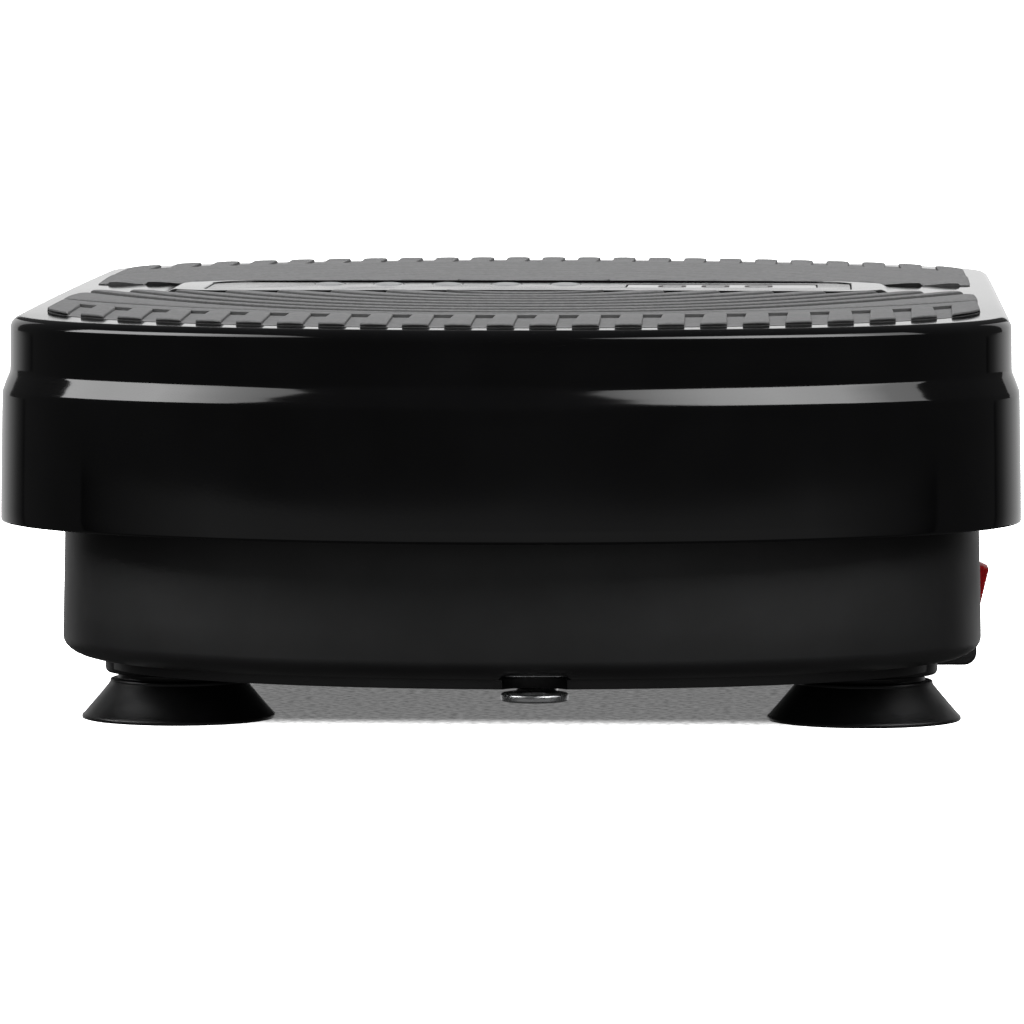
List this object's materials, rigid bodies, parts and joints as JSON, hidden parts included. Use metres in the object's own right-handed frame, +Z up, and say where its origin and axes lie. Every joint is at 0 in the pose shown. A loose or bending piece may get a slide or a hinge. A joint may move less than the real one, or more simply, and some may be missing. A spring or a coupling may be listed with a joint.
{
  "type": "vibration plate",
  "caption": "Slim oscillating vibration plate: glossy platform with ribbed rubber foot mats and a control strip, rocking in a black base tray on suction feet.",
  "frame": {"origin": "on the floor under the middle of the plate", "axes": "+Y along the long axis, with the pictured short end towards -Y; +X towards the side with the power rocker; +Z up"},
  "size_m": [0.31, 0.53, 0.1254],
  "materials": {
    "gloss_black": "high gloss moulded black",
    "matte_black": "fine textured matte black",
    "grey_rubber": "ribbed mid grey rubber",
    "black_rubber": "smooth black rubber",
    "steel": "zinc plated steel",
    "painted_steel": "black powder coat",
    "brass": "plated contact",
    "red_plastic": "glossy red",
    "smoked_window": "smoked transparent acrylic",
    "silver_button": "satin silver",
    "circuit_board": "green solder mask"
  },
  "bodies": {
    "base": {"base_tray": "matte_black", "chassis_plate": "steel", "suction_foot_1": "black_rubber", "suction_foot_2": "black_rubber", "suction_foot_3": "black_rubber", "suction_foot_4": "black_rubber", "foot_bolt_1": "steel", "foot_bolt_2": "steel", "foot_bolt_3": "steel", "foot_bolt_4": "steel", "band_ring_front": "steel", "band_ring_back": "steel", "pivot_bearing_left": "painted_steel", "pivot_bearing_right": "painted_steel", "motor_body": "painted_steel", "motor_bracket": "painted_steel", "drive_belt": "black_rubber", "crank_bearing_left": "painted_steel", "crank_bearing_right": "painted_steel", "rubber_buffer_1": "black_rubber", "rubber_buffer_2": "black_rubber", "rubber_buffer_3": "black_rubber", "rubber_buffer_4": "black_rubber", "power_board": "circuit_board", "power_entry": "matte_black", "inlet_pin_1": "brass", "inlet_pin_2": "brass", "inlet_pin_3": "brass"},
    "platform": {"top_cover": "gloss_black", "mat_front": "grey_rubber", "mat_back": "grey_rubber", "control_panel": "gloss_black", "display_window": "smoked_window", "display_board": "circuit_board", "rail_left": "painted_steel", "rail_right": "painted_steel", "crossbar_front": "painted_steel", "crossbar_crank": "painted_steel", "cover_screw_1": "steel", "cover_screw_2": "steel", "cover_screw_3": "steel", "cover_screw_4": "steel", "pivot_hanger_left": "painted_steel", "pivot_hanger_right": "painted_steel", "pivot_pin_left": "steel", "pivot_pin_right": "steel", "wrist_bracket": "painted_steel", "wrist_pin": "steel"},
    "crank": {"crankshaft": "steel", "crank_pulley": "steel"},
    "rod": {"connecting_rod": "steel"},
    "motor_rotor": {"motor_shaft": "steel", "motor_pulley": "steel"},
    "power_rocker": {"power_rocker": "red_plastic"},
    "button_1": {"button_1": "silver_button"},
    "button_2": {"button_2": "silver_button"},
    "button_3": {"button_3": "silver_button"},
    "button_4": {"button_4": "silver_button"},
    "button_5": {"button_5": "silver_button"}
  },
  "joints": [
    {"name": "platform_rock", "type": "hinge", "parent": "base", "child": "platform", "pos_m": [0, 0, 0.06], "axis": [1, 0, 0], "range_deg": [-1.5, 1.5], "stiffness_Nm_per_rad": 300},
    {"name": "crank_spin", "type": "hinge", "parent": "base", "child": "crank", "pos_m": [0, 0.075, 0.046], "axis": [1, 0, 0], "continuous": true},
    {"name": "rod_swing", "type": "hinge", "parent": "crank", "child": "rod", "pos_m": [0, 0.0766, 0.046], "axis": [1, 0, 0], "continuous": true},
    {"name": "motor_spin", "type": "hinge", "parent": "base", "child": "motor_rotor", "pos_m": [0, -0.075, 0.056], "axis": [1, 0, 0], "continuous": true},
    {"name": "power_rocker_tilt", "type": "hinge", "parent": "base", "child": "power_rocker", "pos_m": [0.1402, -0.073, 0.0284], "axis": [0, 1, 0], "range_deg": [-18, 0]},
    {"name": "button_1_press", "type": "slide", "parent": "platform", "child": "button_1", "axis": [0, 0, -1], "range_m": [0, 0.0008], "stiffness_N_per_m": 500},
    {"name": "button_2_press", "type": "slide", "parent": "platform", "child": "button_2", "axis": [0, 0, -1], "range_m": [0, 0.0008], "stiffness_N_per_m": 500},
    {"name": "button_3_press", "type": "slide", "parent": "platform", "child": "button_3", "axis": [0, 0, -1], "range_m": [0, 0.0008], "stiffness_N_per_m": 500},
    {"name": "button_4_press", "type": "slide", "parent": "platform", "child": "button_4", "axis": [0, 0, -1], "range_m": [0, 0.0008], "stiffness_N_per_m": 500},
    {"name": "button_5_press", "type": "slide", "parent": "platform", "child": "button_5", "axis": [0, 0, -1], "range_m": [0, 0.0008], "stiffness_N_per_m": 500}
  ],
  "couplings": [
    {"joint": "rod_swing", "follows": "crank_spin", "ratio": -1},
    {"joint": "motor_spin", "follows": "crank_spin", "ratio": 1.8898}
  ]
}
